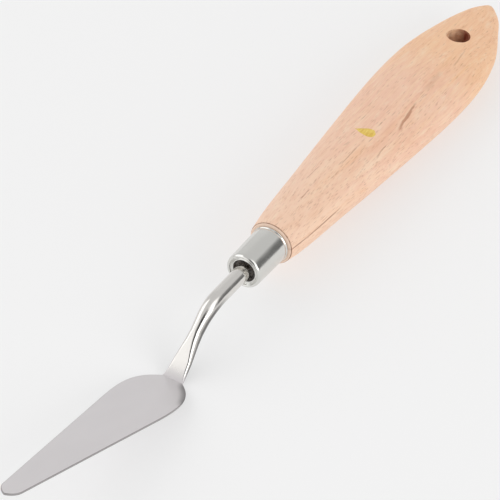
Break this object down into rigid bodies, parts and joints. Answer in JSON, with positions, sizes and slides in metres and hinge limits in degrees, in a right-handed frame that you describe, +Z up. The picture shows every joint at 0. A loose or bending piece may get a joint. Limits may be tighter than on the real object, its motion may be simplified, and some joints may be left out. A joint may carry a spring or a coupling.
{
  "type": "palette knife",
  "caption": "Artist's palette knife: cranked steel neck and thin springy trowel-shaped blade set by a ferrule in a flat oval wooden handle with a hanging hole.",
  "frame": {"origin": "on the table under the middle of the knife's length and width, with the knife at rest on its heel and on the belly of its handle", "axes": "+X runs from the butt of the handle to the blade's tip, +Z is up, and the knife is symmetric about the XZ plane"},
  "size_m": [0.2257, 0.0248, 0.0231],
  "materials": {
    "handle": "smooth sanded beech, lightly varnished",
    "ferrule": "polished",
    "neck": "polished",
    "blade": "satin",
    "adhesive": "cured glossy resin"
  },
  "bodies": {
    "handle": {"handle": "handle", "ferrule": "ferrule", "neck": "neck", "tang_adhesive": "adhesive"},
    "blade": {"blade": "blade"}
  },
  "joints": [
    {"name": "blade_flex", "type": "hinge", "parent": "handle", "child": "blade", "pos_m": [0.04346, 0, 0.00085], "axis": [0, -1, 0], "range_deg": [-16, 20], "stiffness_Nm_per_rad": 1.06}
  ]
}
